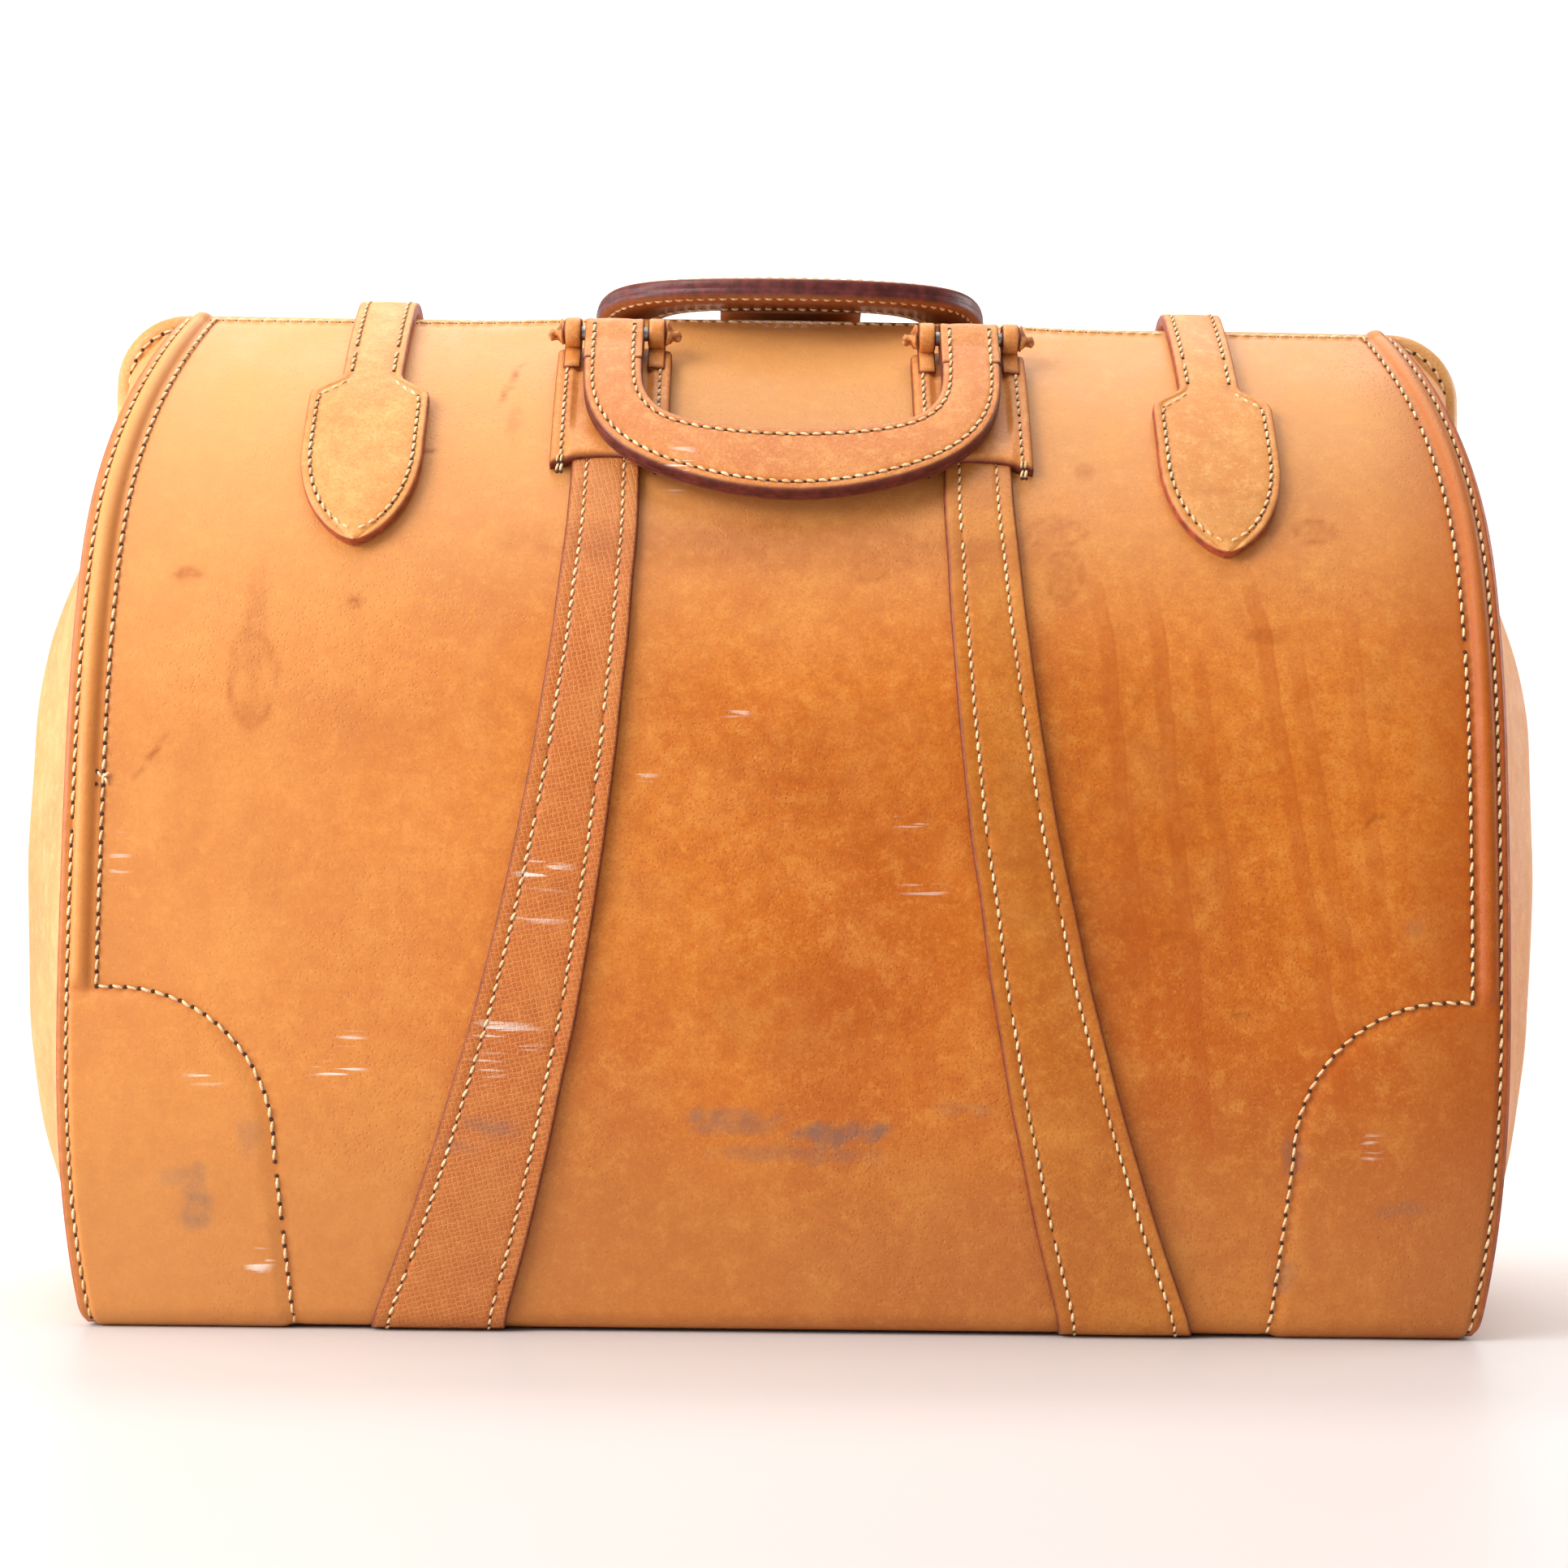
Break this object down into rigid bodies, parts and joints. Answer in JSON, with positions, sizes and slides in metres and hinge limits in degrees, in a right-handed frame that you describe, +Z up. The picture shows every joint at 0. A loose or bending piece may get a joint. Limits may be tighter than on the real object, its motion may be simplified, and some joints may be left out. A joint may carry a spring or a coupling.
{
  "type": "doctor bag",
  "caption": "Leather doctor bag with a hinged mouth frame, two D handles on sewn bands, bulging end gussets and two closing straps.",
  "frame": {"origin": "on the ground, under the middle of the bag", "axes": "+X across the bag to the right as seen from the front, -Y is the front, +Z up"},
  "size_m": [0.57, 0.2426, 0.379],
  "materials": {
    "panel_leather": "vegetable-tanned, waxed and worn",
    "band_leather": "fine cross grain, waxed",
    "gusset_leather": "soft, creased",
    "frame_leather": "stitched cover",
    "handle_leather": "polished by the hand, dark edges",
    "strap_leather": "two layers, stitched",
    "bottom_leather": "scuffed",
    "edge_leather": "burnished edges",
    "lining": "cotton drill",
    "board": "fibre board",
    "steel": "dull",
    "brass": "aged"
  },
  "bodies": {
    "base": {"bottom_leather": "bottom_leather", "bottom_board": "board", "gusset_left": "gusset_leather", "gusset_right": "gusset_leather"},
    "front": {"front_panel": "panel_leather", "front_lining": "lining", "front_reinforcement_left": "edge_leather", "front_reinforcement_right": "edge_leather", "front_welt_left": "edge_leather", "front_welt_right": "edge_leather", "front_band_left": "band_leather", "front_band_right": "band_leather", "front_chape_left": "panel_leather", "front_chape_right": "panel_leather", "front_handle_bar_left": "steel", "front_handle_bar_right": "steel", "front_gusset_wing_left": "gusset_leather", "front_gusset_wing_right": "gusset_leather", "strap_end_left": "strap_leather", "strap_end_right": "strap_leather"},
    "back": {"back_panel": "panel_leather", "back_lining": "lining", "back_reinforcement_left": "edge_leather", "back_reinforcement_right": "edge_leather", "back_welt_left": "edge_leather", "back_welt_right": "edge_leather", "back_band_left": "band_leather", "back_band_right": "band_leather", "back_chape_left": "panel_leather", "back_chape_right": "panel_leather", "back_handle_bar_left": "steel", "back_handle_bar_right": "steel", "back_gusset_wing_left": "gusset_leather", "back_gusset_wing_right": "gusset_leather", "strap_stud_left": "brass", "strap_stud_right": "brass", "lock_tab": "panel_leather", "lock_plate": "brass"},
    "front_frame": {"front_frame_steel": "steel", "front_frame_cover": "frame_leather", "hinge_rivets": "brass"},
    "back_frame": {"back_frame_steel": "steel", "back_frame_cover": "frame_leather"},
    "gusset_fold": {"gusset_tuck_left": "gusset_leather", "gusset_tuck_right": "gusset_leather"},
    "front_handle": {"front_handle_leather": "handle_leather", "front_handle_core": "edge_leather"},
    "back_handle": {"back_handle_leather": "handle_leather", "back_handle_core": "edge_leather"},
    "strap_left": {"strap_leather_left": "strap_leather", "strap_lining_left": "strap_leather", "strap_cap_left": "brass"},
    "strap_right": {"strap_leather_right": "strap_leather", "strap_lining_right": "strap_leather", "strap_cap_right": "brass"},
    "lock_button": {"lock_button": "brass"}
  },
  "joints": [
    {"name": "mouth", "type": "hinge", "parent": "base", "child": "front", "pos_m": [0, -0.1124, 0.004], "axis": [1, 0, 0], "range_deg": [0, 9]},
    {"name": "back_panel_tilt", "type": "hinge", "parent": "base", "child": "back", "pos_m": [0, 0.1124, 0.004], "axis": [-1, 0, 0], "range_deg": [0, 9]},
    {"name": "front_frame_turn", "type": "hinge", "parent": "front", "child": "front_frame", "pos_m": [0, -0.0052, 0.362], "axis": [1, 0, 0], "range_deg": [0, 38.58]},
    {"name": "back_frame_turn", "type": "hinge", "parent": "back", "child": "back_frame", "pos_m": [0, 0.0052, 0.362], "axis": [-1, 0, 0], "range_deg": [0, 38.58]},
    {"name": "gusset_unfold", "type": "slide", "parent": "base", "child": "gusset_fold", "axis": [0, 0, 1], "range_m": [0, 0.04248]},
    {"name": "strap_left_fold", "type": "hinge", "parent": "front", "child": "strap_left", "pos_m": [-0.153, -0.0353, 0.35402], "axis": [1, 0, 0], "range_deg": [0, 150.2]},
    {"name": "strap_right_fold", "type": "hinge", "parent": "front", "child": "strap_right", "pos_m": [0.153, -0.0353, 0.35402], "axis": [1, 0, 0], "range_deg": [0, 150.2]},
    {"name": "front_handle_swing", "type": "hinge", "parent": "front", "child": "front_handle", "pos_m": [0, -0.04205, 0.35562], "axis": [-1, 0, 0], "range_deg": [0, 125]},
    {"name": "back_handle_swing", "type": "hinge", "parent": "back", "child": "back_handle", "pos_m": [0, 0.04205, 0.35562], "axis": [-1, 0, 0], "range_deg": [0, 200]},
    {"name": "lock_press", "type": "slide", "parent": "back", "child": "lock_button", "axis": [0, -0.7442, -0.668], "range_m": [0, 0.0015], "stiffness_N_per_m": 300, "springref_m": -0.001}
  ],
  "couplings": [
    {"joint": "back_panel_tilt", "follows": "mouth", "ratio": 1},
    {"joint": "front_frame_turn", "follows": "mouth", "ratio": 4.281},
    {"joint": "back_frame_turn", "follows": "mouth", "ratio": 4.281},
    {"joint": "gusset_unfold", "follows": "mouth", "m_per_rad": 0.2685},
    {"joint": "strap_left_fold", "follows": "mouth", "ratio": 16.67},
    {"joint": "strap_right_fold", "follows": "mouth", "ratio": 16.67}
  ]
}
